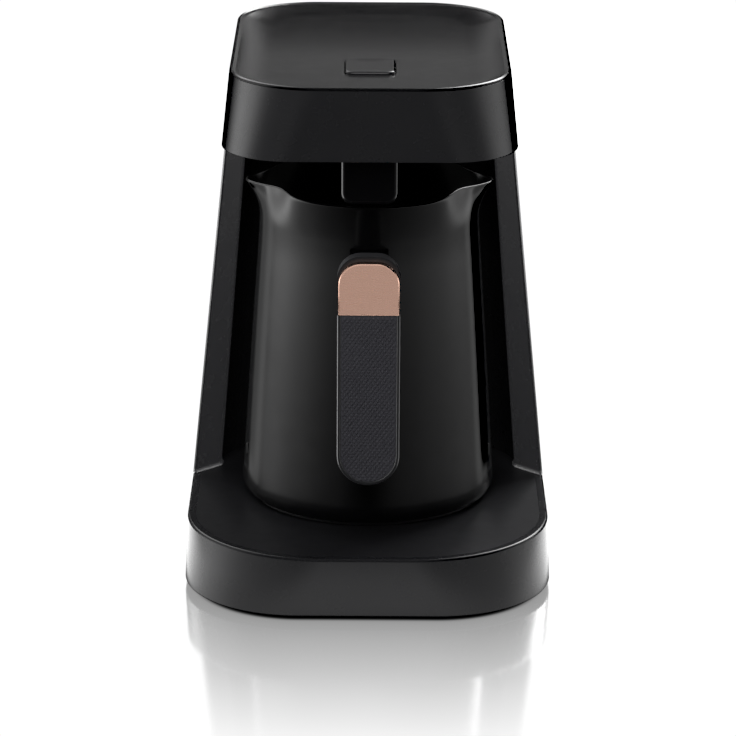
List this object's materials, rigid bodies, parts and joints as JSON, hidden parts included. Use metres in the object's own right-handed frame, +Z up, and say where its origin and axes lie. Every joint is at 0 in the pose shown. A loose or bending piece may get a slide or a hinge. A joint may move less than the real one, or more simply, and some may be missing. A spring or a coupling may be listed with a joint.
{
  "type": "electric coffee pot maker",
  "caption": "Electric Turkish coffee maker: leaning column with a head and start button over a plug-in heated jug with a studded handle.",
  "frame": {"origin": "on the floor under the axis of the jug, which is the middle of the footprint", "axes": "+Z up, -Y towards the user (the handle's side), +X to the user's right"},
  "size_m": [0.1554, 0.182, 0.225],
  "materials": {
    "shell": "satin black moulding, very fine texture",
    "tray": "dark smooth tray",
    "inner_plastic": "matte black moulding",
    "gloss_black": "piano black",
    "button_face": "satin",
    "foot_rubber": "soft matte",
    "steel": "zinc plated",
    "spring_steel": "drawn wire",
    "aluminium": "cast",
    "contact_brass": "tinned brass",
    "board_green": "solder mask",
    "component_black": "moulded case",
    "component_blue": "moulded case",
    "component_yellow": "coil tape",
    "component_white": "moulded case",
    "ir_window": "dark red, passes infrared",
    "led_lens": "amber lens",
    "wire_grey": "ribbon insulation",
    "wire_red": "silicone insulation",
    "wire_brown": "silicone insulation",
    "wire_white": "glass braid sleeve",
    "jug_wall": "glossy black coat over steel",
    "jug_floor": "coated steel disc",
    "sheath": "oxidised sheath",
    "copper_cap": "satin copper plating",
    "grip_rubber": "studded grip",
    "seal_rubber": "soft"
  },
  "bodies": {
    "machine": {"base_shell": "shell", "tray": "tray", "base_cover": "inner_plastic", "feet": "foot_rubber", "base_screws": "steel", "cord_gland": "seal_rubber", "terminal_block": "component_white", "column_shell": "shell", "column_liner": "gloss_black", "column_screws": "steel", "head_shell": "shell", "head_top": "button_face", "head_floor": "inner_plastic", "head_screws": "steel", "sensor_pod": "gloss_black", "sensor_window": "ir_window", "sensor_board": "board_green", "sensor_eyes": "component_blue", "start_switch": "component_black", "control_board": "board_green", "microcontroller": "component_black", "buzzer": "component_black", "status_led": "led_lens", "board_screws": "steel", "power_board": "board_green", "transformer": "component_yellow", "relay": "component_blue", "filter_capacitor": "component_black", "power_screws": "steel", "socket_housing": "component_black", "socket_contacts": "contact_brass", "socket_seal": "seal_rubber", "head_lead": "wire_grey", "socket_lead": "wire_red", "mains_lead": "wire_brown"},
    "button": {"button": "button_face", "switch_plunger": "component_white", "button_spring": "spring_steel"},
    "jug": {"jug_body": "jug_wall", "jug_floor_plate": "jug_floor", "heat_spreader": "aluminium", "heating_element": "sheath", "jug_thermostat": "component_white", "thermal_fuse": "steel", "jug_foot": "inner_plastic", "jug_plug": "component_black", "plug_contacts": "contact_brass", "jug_leads": "wire_white", "foot_screws": "steel", "handle_frame": "shell", "handle_cap": "copper_cap", "handle_grip": "grip_rubber", "handle_bracket": "steel", "handle_screws": "steel"}
  },
  "joints": [
    {"name": "button_press", "type": "slide", "parent": "machine", "child": "button", "axis": [0, 0, -1], "range_m": [0, 0.001], "stiffness_N_per_m": 600, "springref_m": -0.0008, "deforming": ["button_spring"]},
    {"name": "jug_pull", "type": "slide", "parent": "machine", "child": "jug", "axis": [0, -1, 0], "range_m": [0, 0.17]}
  ]
}
